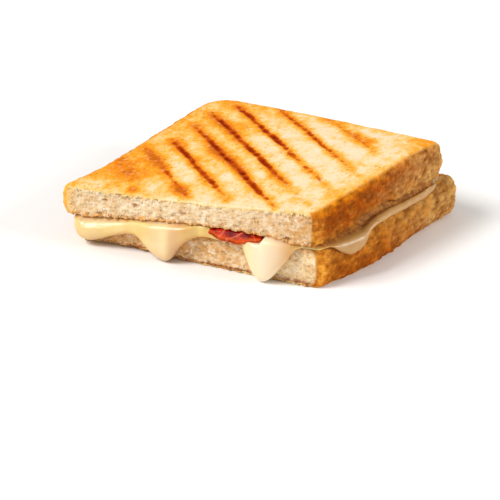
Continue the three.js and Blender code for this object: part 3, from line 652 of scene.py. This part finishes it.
def makeReliefTree():
    tree, add = newTree("bread_relief", reliefShape)
    given = add("NodeGroupInput").node.outputs
    place = add("GeometryNodeInputPosition")
    inMillimetres = add("VectorMath:SCALE", place, 1000.0)
    flattened = add("VectorMath:MULTIPLY", inMillimetres, (1.0, 1.0, 2.1))
    warp = add("TexNoise", {"Vector": inMillimetres, "Scale": 0.35, "Detail": 2.0}, out="Color")
    swirled = add("VectorMath:MULTIPLY_ADD", warp, (1.6, 1.6, 1.6), flattened)
    # pores and larger holes: round dips around the points of two cell patterns, some cells deeper than others
    poresPerMm = add("Math:DIVIDE", 1.0, given["Pore Size"])
    pores = add("TexVoronoi", {"Vector": swirled, "Scale": poresPerMm}).node.outputs
    poreDip = add("MapRange", pores["Distance"], 0.15, 0.62, 1.0, 0.0, interpolation_type="SMOOTHSTEP")
    poreSize = add("SeparateXYZ", pores["Color"], out="X")
    poreDip = add("Math:MULTIPLY", poreDip, add("Math:POWER", poreSize, 0.7))
    holesPerMm = add("Math:DIVIDE", 1.0, given["Hole Size"])
    holes = add("TexVoronoi", {"Vector": swirled, "Scale": holesPerMm}).node.outputs
    holeDip = add("MapRange", holes["Distance"], 0.08, 0.34, 1.0, 0.0, interpolation_type="SMOOTHSTEP")
    isHole = add("Math:GREATER_THAN", add("SeparateXYZ", holes["Color"], out="Y"), 0.62)
    holeDip = add("Math:MULTIPLY", holeDip, isHole)
    noises = []
    for size, detail in ((0.9, 2.0), (2.2, 3.0), (6.0, 2.0)):
        inputs = {"Vector": inMillimetres, "W": given["Seed"], "Scale": 1 / size, "Detail": detail}
        noises.append(add("Math:MULTIPLY_ADD", add("TexNoise", inputs, noise_dimensions="4D"), *noiseSpread))
    fine, middling, broad = noises
    lumpsPerMm = add("Math:DIVIDE", 1.0, given["Crust Lump"])
    lumpInputs = {"Vector": swirled, "Scale": lumpsPerMm, "Smoothness": 0.6}
    lumps = add("TexVoronoi", lumpInputs, feature="SMOOTH_F1")
    crumb, crust, char, tear, lumpy = [
        add("GeometryNodeInputNamedAttribute:FLOAT", name)
        for name in ("crumb", "crust", "char", "tear", "lumpy")
    ]
    # how far each kind of surface rises, in millimetres
    poreDepth = add("Math:MULTIPLY", poreDip, given["Pore Depth"])
    dips = add("Math:ADD", poreDepth, add("Math:MULTIPLY", holeDip, given["Hole Depth"]))
    crumbRise = add("Math:MULTIPLY_ADD", middling, 0.8, fine)
    crumbRise = add("Math:SUBTRACT", add("Math:MULTIPLY", crumbRise, given["Crumb Roughness"]), dips)
    crustRise = add("Math:SUBTRACT", add("Math:MULTIPLY", fine, 0.22), lumps)
    crustRise = add("Math:MULTIPLY_ADD", middling, 0.45, crustRise)
    crustRise = add("Math:MULTIPLY_ADD", broad, 0.4, crustRise)
    crustRise = add("Math:MULTIPLY_ADD", holeDip, -0.5, crustRise)
    crustRise = add("Math:MULTIPLY", add("Math:MULTIPLY", crustRise, lumpy), given["Crust Relief"])
    faceRise = add("Math:MULTIPLY", add("Math:MULTIPLY_ADD", middling, 0.8, fine), given["Face Relief"])
    faceRise = add("Math:MULTIPLY_ADD", broad, 0.15, faceRise)
    groove = add("Math:MULTIPLY", char, given["Groove Depth"])
    groove = add("Math:MULTIPLY", groove, add("Math:MULTIPLY_ADD", middling, 0.4, 1.0))
    isFace = add("Math:SUBTRACT", 1.0, add("Math:MAXIMUM", crumb, crust))
    rise = add("Math:MULTIPLY", crumbRise, crumb)
    rise = add("Math:MULTIPLY_ADD", crustRise, crust, rise)
    rise = add("Math:MULTIPLY_ADD", add("Math:SUBTRACT", faceRise, groove), isFace, rise)
    torn = add("Math:MULTIPLY", add("Math:MULTIPLY_ADD", middling, 0.9, fine), given["Tear"])
    rise = add("Math:MULTIPLY_ADD", add("Math:SUBTRACT", torn, 0.15), tear, rise)
    # the surface moves along its normal, and stays above the floor
    offset = add("VectorMath:SCALE", add("GeometryNodeInputNormal"), add("Math:MULTIPLY", rise, 0.001))
    aboveFloor = add("VectorMath:MAXIMUM", add("VectorMath:ADD", place, offset), (-1.0, -1.0, 0.0))
    moved = add("GeometryNodeSetPosition", {"Geometry": given["Geometry"], "Position": aboveFloor})
    # how deep a place lies, for the painted shade in its pores, holes and crust hollows
    crumbDepth = add("Math:MAXIMUM", add("Math:MULTIPLY", poreDip, 0.75), holeDip)
    crumbDepth = add("Math:MULTIPLY", crumbDepth, crumb)
    crustDepth = add("Math:MULTIPLY", add("Math:MULTIPLY_ADD", crustRise, -1.2, -0.1), crust)
    depth = add("Math:ADD", crumbDepth, crustDepth)
    stored = add(
        "GeometryNodeStoreNamedAttribute:FLOAT",
        {"Geometry": moved, "Name": "hollow", "Value": depth}, domain="POINT",
    )
    real = add("GeometryNodeRealizeInstances", stored)
    finished = add("GeometryNodeSetMaterial", {"Geometry": real, "Material": given["Finish"]})
    add("NodeGroupOutput", {"Geometry": finished})
    return tree


# Loose crumbs and torn tufts of crumb, in millimetres.
crumbShape = {"Least Size": 0.28, "Most Size": 0.85, "Count per cm2": 26.0, "Seed": 5}


def makeCrumbTree():
    tree, add = newTree("loose_crumbs", crumbShape)
    given = add("NodeGroupInput").node.outputs
    scatter = add("GeometryNodeInputNamedAttribute:FLOAT", "scatter")
    perMetre = add("Math:MULTIPLY", given["Count per cm2"], 10000.0)
    density = add("Math:MULTIPLY", perMetre, scatter)
    spots = add(
        "GeometryNodeDistributePointsOnFaces",
        {"Mesh": given["Geometry"], "Density": density, "Seed": given["Seed"]}, distribute_method="RANDOM",
    )
    grain = add("GeometryNodeMeshIcoSphere", {"Radius": 0.0005, "Subdivisions": 2})  # 1 mm across
    dent = 0.0002
    dents = add("FunctionNodeRandomValue:FLOAT_VECTOR", (-dent, -dent, -dent), (dent, dent, dent))
    ragged = add("GeometryNodeSetPosition", {"Geometry": grain, "Offset": dents})
    whole = 6.28  # a whole turn
    turnInputs = {0: (0.0, 0.0, 0.0), 1: (whole, whole, whole), "Seed": 11}
    turn = add("FunctionNodeRandomValue:FLOAT_VECTOR", turnInputs)
    size = add("FunctionNodeRandomValue:FLOAT", {0: given["Least Size"], 1: given["Most Size"], "Seed": 12})
    grains = add(
        "GeometryNodeInstanceOnPoints",
        {"Points": spots, "Instance": ragged, "Rotation": turn, "Scale": add("CombineXYZ", size, size, size)},
    )
    real = add("GeometryNodeRealizeInstances", add("GeometryNodeSetShadeSmooth", grains))
    finished = add("GeometryNodeSetMaterial", {"Geometry": real, "Material": given["Finish"]})
    add("NodeGroupOutput", {"Geometry": finished})
    return tree


def bakeTree(obj, tree, values):  # runs a tree on a piece and keeps its result as a plain mesh
    modifier = obj.modifiers.new(tree.name, "NODES")
    modifier.node_group = tree
    for item in tree.interface.items_tree:
        if item.in_out == "INPUT" and item.name in values:
            modifier[item.identifier] = values[item.name]
    depsgraph = bpy.context.evaluated_depsgraph_get()
    depsgraph.update()
    baked = bpy.data.meshes.new_from_object(
        obj.evaluated_get(depsgraph), preserve_all_data_layers=True, depsgraph=depsgraph
    )
    baked.name = obj.name
    obj.modifiers.clear()
    obj.data = baked


# Colours of the bread. Ramps run from pale to dark toast, up the crust from the filling to the toasted face,
# and from gold to scorched in the bars. Crumb holds its pale, deep, pore shade and edge colours, skin its
# colour and strength: a toasted skin with painted light on the upper slice and painted contact shadow on the
# lower.
breadLooks = {
    "upper": {
        "face": [
            (0.0, "F5DEC2"), (0.2, "F5D5A4"), (0.37, "F3BD62"),
            (0.53, "F1A22C"), (0.76, "E98618"), (1.0, "C05C10"),
        ],
        "crust": [(0.0, "BE7C2E"), (0.35, "B25A12"), (0.65, "A04808"), (0.82, "D6700A"), (1.0, "F69A18")],
        "crumb": ("F1DAB4", "E2BA84", "B47C42", "F0A034"),
        # the upper skin is lightened as painted light along the cut's top edge
        "skin": ("FFDC92", 0.8),
        "heel": 0.35,
        "char": [(0.0, "EE8E20"), (0.3, "CE5C0A"), (0.6, "9C3002"), (1.0, "641400")],
    },
    "lower": {
        "face": [
            (0.0, "F3D7A0"), (0.22, "EBC07A"), (0.4, "E2A650"),
            (0.58, "D4882E"), (0.78, "B9661E"), (1.0, "8A4012"),
        ],
        "crust": [(0.0, "CC8A34"), (0.35, "C27624"), (0.65, "BA6614"), (0.85, "B0560C"), (1.0, "944408")],
        "crumb": ("F2D6A6", "DCA868", "9A6228", "D08C3C"),
        # the lower skin is darkened as painted contact shadow along the cut's bottom edge
        "skin": ("8E3C0C", 0.9),
        "heel": 0.85,
        "char": [(0.0, "DD7F26"), (0.3, "B04E14"), (0.6, "84310C"), (1.0, "541A06")],
    },
    "shared": {
        "flour": "DEC4A4", "speck": "8E4010",  # pale film and dark specks on the toasted face
        # the crust hollow colour is painted shade for the crust's hollows
        "paleFarCrust": "DDB068", "darkCrust": "7A3406", "lightCrust": "D89030", "crustHollowShade": "7C3E0C",
        "crustFlecks": "E29C3C",
        "heelLight": "F2AC40", "heelDark": "C0640E",  # where the right crust meets the cut
        "noseCrust": "F6B84C", "noseCrumb": "F4BE62",  # the sharp left corner
        "soakAndShadeCrumb": "D2944A", "crumbHighlights": "FFF2DE",  # where cheese ran in, with painted shade on the lower slice's cut, and painted highlights on the crumb
        "noiseSizes": ((11, 2.0), (4.2, 3.0), (1.8, 2.0), (0.8, 2.0)),  # millimetres, detail
        "fleckSize": 2.1, "bubbleSize": 1.25,
    },
}


def makeToastedBread(name, look):
    # White sandwich bread, pressed and toasted: matt open crumb, dry browned skin, scorched dull bars.
    material, add = newMaterial(name)
    shared = breadLooks["shared"]
    read = ("crumb", "crust", "outer", "toast", "char", "hollow", "sideways", "nose", "heel", "soakAndShade")
    looks = {key: add("Attribute", out="Fac", attribute_name=key) for key in read}
    place = add("TexCoord", out="Object")
    pressed = add("Mapping", {"Vector": place, "Scale": (1.0, 0.8, 1.0)})
    noises = []
    for vector in (place, pressed):
        for size, detail in shared["noiseSizes"]:
            inputs = {"Vector": vector, "Scale": 1000 / size, "Detail": detail, "Roughness": 0.6}
            noises.append(add("Math:MULTIPLY_ADD", add("TexNoise", inputs), *noiseSpread))
    broad, middling, small, fine, faceBroad, faceMiddling, faceSmall, faceFine = noises
    flecks = add("TexVoronoi", {"Vector": place, "Scale": 1000 / shared["fleckSize"]}).node.outputs
    chance = add("SeparateXYZ", flecks["Color"]).node.outputs
    fleck = add("MapRange", flecks["Distance"], 0.05, 0.3, 1.0, 0.0, interpolation_type="SMOOTHSTEP")
    fleck = add("Math:MULTIPLY", fleck, add("Math:GREATER_THAN", chance["X"], 0.5))
    speck = add("MapRange", flecks["Distance"], 0.1, 0.22, 0.75, 0.0)
    speck = add("Math:MULTIPLY", speck, add("Math:GREATER_THAN", chance["Y"], 0.7))

    # toasted face: patches of gold on pale cream
    level = add("Math:MULTIPLY_ADD", faceBroad, 0.2, add("Math:MULTIPLY", looks["toast"], 0.85))
    for noise, share in ((faceMiddling, 0.2), (faceSmall, 0.12), (faceFine, 0.07), (fleck, 0.14)):
        level = add("Math:MULTIPLY_ADD", noise, share, level)
    face = add("ValToRGB", level, stops=look["face"])
    floury = add("Math:MULTIPLY_ADD", faceSmall, -0.65, -0.1, use_clamp=True)
    face = add("Mix:RGBA", floury, face, shared["flour"])
    specked = add("Math:MULTIPLY_ADD", looks["toast"], 1.3, 0.15, use_clamp=True)
    face = add("Mix:RGBA", add("Math:MULTIPLY", speck, specked), face, shared["speck"])
    # scorched bars with ragged edges
    scorch = add("Math:MULTIPLY_ADD", looks["char"], 0.9, add("Math:MULTIPLY", small, 0.2))
    scorch = add("Math:MULTIPLY_ADD", fine, 0.07, scorch)
    scorch = add("Math:MULTIPLY_ADD", middling, 0.22, scorch)
    bars = add("ValToRGB", scorch, stops=look["char"])
    isScorched = add("MapRange", scorch, 0.05, 0.4, 0.0, 1.0, interpolation_type="SMOOTHSTEP")
    nearBar = add("Math:MULTIPLY", looks["char"], 4.0, use_clamp=True)
    face = add("Mix:RGBA", add("Math:MULTIPLY", isScorched, nearBar), face, bars)

    # crust wall: painted shade in its hollows, paler towards the far right corner
    climb = add("Math:MULTIPLY_ADD", middling, 0.22, looks["outer"])
    climb = add("Math:MULTIPLY_ADD", broad, 0.18, climb)
    climb = add("Math:MULTIPLY_ADD", small, 0.16, climb)
    crust = add("ValToRGB", climb, stops=look["crust"])
    # paler towards the far right corner
    paleFar = add("MapRange", add("Math:MULTIPLY_ADD", middling, 0.35, looks["sideways"]), 0.4, 1.0, 0.0, 0.85)
    mottle = add("Math:MULTIPLY_ADD", middling, 0.75, add("Math:MULTIPLY", small, 0.75))
    heelDark = add("Math:MULTIPLY_ADD", mottle, 0.7, 0.45, use_clamp=True)
    heelColour = add("Mix:RGBA", heelDark, shared["heelLight"], shared["heelDark"])
    heel = add("Math:MULTIPLY_ADD", mottle, -0.5, look["heel"])
    nose = add("Math:MULTIPLY_ADD", mottle, -0.4, 0.85)
    for share, colour in (
        (paleFar, shared["paleFarCrust"]),
        (add("Math:MULTIPLY_ADD", mottle, 0.9, -0.1, use_clamp=True), shared["darkCrust"]),
        (add("Math:MULTIPLY_ADD", mottle, -0.8, -0.16, use_clamp=True), shared["lightCrust"]),
        # painted shade in the crust's hollows
        (add("Math:MULTIPLY", looks["hollow"], 0.8, use_clamp=True), shared["crustHollowShade"]),
        (add("Math:MULTIPLY_ADD", fine, -0.5, -0.16, use_clamp=True), shared["crustFlecks"]),
        (add("Math:MULTIPLY", looks["heel"], heel, use_clamp=True), heelColour),
        (add("Math:MULTIPLY", looks["nose"], nose, use_clamp=True), shared["noseCrust"]),
    ):
        crust = add("Mix:RGBA", share, crust, colour)

    # cut crumb: painted shade in small bubbles drawn out along the slice and in larger ones from the relief
    drawnOut = add("Mapping", {"Vector": place, "Scale": (0.75, 0.75, 1.4)})
    wavy = add("TexNoise", {"Vector": place, "Scale": 1000 / 2, "Detail": 1.0}, out="Color")
    wavy = add("VectorMath:MULTIPLY_ADD", wavy, (0.0014, 0.0014, 0.0014), drawnOut)
    bubbles = add("TexVoronoi", {"Vector": wavy, "Scale": 1000 / shared["bubbleSize"]}).node.outputs
    bubble = add("MapRange", bubbles["Distance"], 0.12, 0.5, 1.0, 0.0, interpolation_type="SMOOTHSTEP")
    bubble = add("Math:MULTIPLY", bubble, add("SeparateXYZ", bubbles["Color"], out="X"))
    paleCrumb, deepCrumb, poreShade, edgeColour = look["crumb"]
    cloudy = add("Math:MULTIPLY_ADD", middling, 0.8, 0.25)
    deeper = add("Math:MULTIPLY_ADD", broad, 0.5, cloudy, use_clamp=True)
    crumb = add("Mix:RGBA", deeper, paleCrumb, deepCrumb)
    # painted highlights on random spots of the crumb
    lumps = add("Math:MULTIPLY_ADD", small, -0.9, add("Math:MULTIPLY", middling, -0.4))
    edge = add("Math:MULTIPLY_ADD", broad, 0.1, add("Math:MULTIPLY_ADD", middling, 0.1, looks["outer"]))
    edge = add("MapRange", edge, 0.02, 0.2, 0.95, 0.0, interpolation_type="SMOOTHSTEP")
    skinColour, skinShare = look["skin"]  # the thin toasted skin, cut through, with painted light on the upper slice and painted contact shadow on the lower
    skin = add("Math:MULTIPLY_ADD", small, 0.04, looks["outer"])
    soakAndShade = add("Math:MULTIPLY_ADD", middling, 0.5, 1.0)
    for share, colour in (
        # cheese run into the crumb, and painted shade on the lower slice's cut
        (add("Math:MULTIPLY", looks["soakAndShade"], soakAndShade, use_clamp=True), shared["soakAndShadeCrumb"]),
        (add("Math:ADD", lumps, -0.02, use_clamp=True), shared["crumbHighlights"]),
        # painted shade in the bubbles and in the relief's pores and holes
        (add("Math:MULTIPLY", bubble, 0.28), poreShade),
        (add("Math:MULTIPLY", looks["hollow"], 0.65, use_clamp=True), poreShade),
        (add("Math:MULTIPLY", edge, add("Math:MULTIPLY_ADD", small, 0.7, 0.6, use_clamp=True)), edgeColour),
        # toasted skin, with painted light on the upper slice and painted contact shadow on the lower
        (add("MapRange", skin, 0.82, 0.95, 0.0, skinShare, interpolation_type="SMOOTHSTEP"), skinColour),
        (add("Math:MULTIPLY", looks["nose"], 0.8, use_clamp=True), shared["noseCrumb"]),
    ):
        crumb = add("Mix:RGBA", share, crumb, colour)

    colour = add("Mix:RGBA", looks["crust"], face, crust)
    ragged = add("Math:MULTIPLY_ADD", middling, 0.5, add("Math:MULTIPLY_ADD", small, 0.6, -0.7))
    isCut = add("Math:MULTIPLY_ADD", looks["crumb"], 2.4, ragged, use_clamp=True)
    colour = add("Mix:RGBA", isCut, colour, crumb)
    # fine grit, with sunken flecks and bubbles
    grit = add("Math:MULTIPLY_ADD", small, 0.35, add("Math:MULTIPLY", fine, 0.6))
    grit = add("Math:MULTIPLY_ADD", fleck, -0.9, grit)
    grit = add("Math:MULTIPLY_ADD", add("Math:MULTIPLY", bubble, looks["crumb"]), -1.0, grit)
    bump = add("Bump", {"Strength": 0.8, "Distance": 0.0003, "Height": grit})
    shader = add(
        "BsdfPrincipled",
        {
            "Base Color": colour, "Roughness": 0.75, "Specular IOR Level": 0.04, "Normal": bump,
            "Subsurface Weight": 0.25, "Subsurface Radius": (1.0, 0.6, 0.35), "Subsurface Scale": 0.0014,
        },
    )
    add("OutputMaterial", {"Surface": shader})
    return material


# Colours of the cheese. Milky are its thick tongues, and flank is painted shade on their steep right flanks,
# each with a strength. The lower edge, the right side and the crevice under the upper slice get painted shade
# too.
cheeseLook = {
    "fresh": [(0.3, "DCB868"), (0.5, "E4C578"), (0.7, "EBD292")],
    "creviceMottle": [(0.36, "8A4404"), (0.64, "D88C28")],  # painted shade in the crevice under the upper slice, mottled like baked crust, most at the right
    "lowEdgeShade": "D89834", "shadedSide": "B08044", "flankShade": (0.75, "CC8A2C"), "milky": (0.85, "F4E4C8"),
}


def makeMeltedCheese():
    # Melted mild cheese: smooth, oily and milky, so light soaks in and comes out warm, with soft highlights.
    material, add = newMaterial("melted_cheese")
    look = cheeseLook
    place = add("TexCoord", out="Object")
    cloudy = add("TexNoise", {"Vector": place, "Scale": 1000 / 9, "Detail": 2.0})
    ripple = add("TexNoise", {"Vector": place, "Scale": 1000 / 4, "Detail": 1.0})
    colour = add("ValToRGB", cloudy, stops=look["fresh"])
    down = add("Attribute", out="Fac", attribute_name="down")
    # painted shade: darker amber towards the lower edge
    lowEdgeShade = add("MapRange", down, 0.4, 0.68, 0.0, 0.85, interpolation_type="SMOOTHSTEP")
    colour = add("Mix:RGBA", lowEdgeShade, colour, look["lowEdgeShade"])
    # painted shade on the cheese along the right side
    aside = add("Attribute", out="Fac", attribute_name="side")
    colour = add("Mix:RGBA", add("Math:MULTIPLY", aside, 0.85), colour, look["shadedSide"])
    # painted shade in the crevice under the upper slice, mottled like baked crust, most at the right; the
    # same mask roughens the surface there
    baked = add("MapRange", down, 0.09, 0.19, 0.9, 0.0, interpolation_type="SMOOTHSTEP")
    baked = add("Math:MULTIPLY", baked, add("Math:MULTIPLY_ADD", aside, 0.5, 0.4))
    creviceMottle = add("TexNoise", {"Vector": place, "Scale": 1000 / 1.8, "Detail": 2.0})
    colour = add("Mix:RGBA", baked, colour, add("ValToRGB", creviceMottle, stops=look["creviceMottle"]))
    # painted shade on the steep right flanks, and paler thick tongues
    for key in ("flankShade", "milky"):
        share, tint = look[key]
        part = add("Math:MULTIPLY", add("Attribute", out="Fac", attribute_name=key), share, use_clamp=True)
        colour = add("Mix:RGBA", part, colour, tint)
    shader = add(
        "BsdfPrincipled",
        {
            "Base Color": colour, "Roughness": add("Math:MULTIPLY_ADD", baked, 0.5, 0.32),
            "Normal": add("Bump", {"Strength": 0.3, "Distance": 0.0008, "Height": ripple}),
            "Coat Weight": 0.16, "Coat Roughness": 0.24,
            "Subsurface Weight": 0.7, "Subsurface Radius": (1.0, 0.74, 0.36), "Subsurface Scale": 0.0028,
        },
    )
    add("OutputMaterial", {"Surface": shader})
    return material


# Colours of the ham. Warmed is its dried rim.
hamLook = {"lean": [(0.3, "5A0602"), (0.5, "A01000"), (0.7, "C42C02")], "warmed": "E8601C", "fat": "EC8A62"}


def makeCuredHam():
    # Cured ham warmed in the toaster: deep red lean with pale fat streaks, wet and shiny.
    material, add = newMaterial("cured_ham")
    place = add("TexCoord", out="Object")
    # streaks about 9, 3 and 1.6 mm apart along x, y and z
    stretched = add("Mapping", {"Vector": place, "Rotation": (0.0, 0.6, 0.0), "Scale": (110.0, 300.0, 620.0)})
    streaks = add("TexNoise", {"Vector": stretched, "Scale": 1.0, "Detail": 3.0})
    cloudy = add("TexNoise", {"Vector": place, "Scale": 1000 / 5, "Detail": 2.0})
    grain = add("TexNoise", {"Vector": place, "Scale": 1000 / 1.1, "Detail": 2.0})
    lean = add("ValToRGB", cloudy, stops=hamLook["lean"])
    ragged = add("Math:MULTIPLY_ADD", grain, 0.9, add("Attribute", out="Fac", attribute_name="lip"))
    warmed = add("MapRange", ragged, 0.95, 1.5, 0.0, 0.75)
    lean = add("Mix:RGBA", warmed, lean, hamLook["warmed"])
    isFat = add("MapRange", streaks, 0.56, 0.7, 0.0, 0.5, interpolation_type="SMOOTHSTEP")
    seam = add("Attribute", out="Fac", attribute_name="fat")
    isFat = add("Math:MULTIPLY_ADD", seam, 0.7, isFat, use_clamp=True)
    rough = add("Math:MULTIPLY_ADD", grain, 0.8, streaks)
    shader = add(
        "BsdfPrincipled",
        {
            "Base Color": add("Mix:RGBA", isFat, lean, hamLook["fat"]), "Roughness": 0.42,
            "Normal": add("Bump", {"Strength": 0.6, "Distance": 0.0005, "Height": rough}),
            "Specular IOR Level": 0.07, "Coat Weight": 0.02, "Coat Roughness": 0.1,
            "Subsurface Weight": 0.2, "Subsurface Radius": (1.0, 0.25, 0.1), "Subsurface Scale": 0.0012,
        },
    )
    add("OutputMaterial", {"Surface": shader})
    return material


print("Materials and crumb relief")
toastTop = makeToastedBread("toasted_bread_top", breadLooks["upper"])
toastBase = makeToastedBread("toasted_bread_base", breadLooks["lower"])
reliefTree, crumbTree = makeReliefTree(), makeCrumbTree()
crumbPieces = []
for bread, finish, seed in ((upperBread, toastTop, 3), (lowerBread, toastBase, 8)):
    bakeTree(bread, reliefTree, {**reliefShape, "Seed": float(seed), "Finish": finish})
    crumbs = bpy.data.objects.new(bread.name + "_crumbs", bread.data.copy())
    bpy.context.scene.collection.objects.link(crumbs)
    bakeTree(crumbs, crumbTree, {**crumbShape, "Seed": seed, "Finish": finish})
    crumbPieces.append(crumbs)
cheese.data.materials.append(makeMeltedCheese())
ham.data.materials.append(makeCuredHam())

for piece, node, slotName in (
    (upperBread, "upper_slice", "toast_top"), (lowerBread, "lower_slice", "toast_base"),
    (cheese, "cheese", "cheese"), (ham, "ham", "ham"),
    (crumbPieces[0], None, "toast_top"), (crumbPieces[1], None, "toast_base"),
):
    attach(piece, "root")
    if node:
        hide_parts(node)

print("Studio: floor, light and camera")
studio = {
    "floor": {"half": 4, "below": 0.0002, "colour": "F7F7F7"},
    "worldColour": "FFFAF2",
    "worldLight": 0.44,
    "key": {"from": (-1.75, -1.85, 2.75), "watts": 120.0, "size": 1.5},
    "fill": {"from": (1.6, 0.2, 0.75), "watts": 15.0, "size": 0.6},
    "cameraAt": (0.327196, -0.751969, 0.407534),
    "cameraAim": (-0.36701, 0.82044, -0.43837),
    "lens": 165.6,
    "lensShift": -0.1,
}
half, level = studio["floor"]["half"], -studio["floor"]["below"]
floorMesh = bpy.data.meshes.new("floor")
floorCorners = [(x, y, level) for x, y in ((-half, -half), (half, -half), (half, half), (-half, half))]
floorMesh.from_pydata(floorCorners, [], [(0, 1, 2, 3)])
floor = bpy.data.objects.new("floor", floorMesh)
bpy.context.scene.collection.objects.link(floor)
floorPaint = bpy.data.materials.new("matt_white_paper")  # seamless paper: no sheen, near white
floorPaint.use_nodes = True
floorShader = floorPaint.node_tree.nodes["Principled BSDF"]
floorShader.inputs["Base Color"].default_value = hexColour(studio["floor"]["colour"])
floorShader.inputs["Roughness"].default_value = 0.9
floorShader.inputs["Specular IOR Level"].default_value = 0.1
floorMesh.materials.append(floorPaint)

world = bpy.data.worlds.new("studio")
bpy.context.scene.world = world
world.use_nodes = True
background = world.node_tree.nodes["Background"].inputs
background["Color"].default_value = hexColour(studio["worldColour"])
background["Strength"].default_value = studio["worldLight"]
for name in ("key", "fill"):
    light = bpy.data.lights.new(name, "AREA")
    light.energy = studio[name]["watts"]
    light.size = studio[name]["size"]
    lamp = bpy.data.objects.new(name, light)
    lamp.location = studio[name]["from"]
    # aimed at the part
    lamp.rotation_euler = (-Vector(studio[name]["from"])).to_track_quat("-Z", "Y").to_euler()
    bpy.context.scene.collection.objects.link(lamp)

cameraData = bpy.data.cameras.new("camera")
cameraData.sensor_width = 36.0
cameraData.lens = studio["lens"]
cameraData.shift_y = studio["lensShift"]
cameraData.clip_start = 0.05
cameraData.clip_end = 20
camera = bpy.data.objects.new("camera", cameraData)
forward = Vector(studio["cameraAim"]).normalized()
sideways = Vector((forward.y, -forward.x, 0)).normalized()
turned = Matrix((sideways, sideways.cross(forward), -forward)).transposed().to_4x4()
camera.matrix_world = Matrix.Translation(studio["cameraAt"]) @ turned
bpy.context.scene.collection.objects.link(camera)
bpy.context.scene.camera = camera
bpy.context.scene.view_settings.view_transform = "Standard"
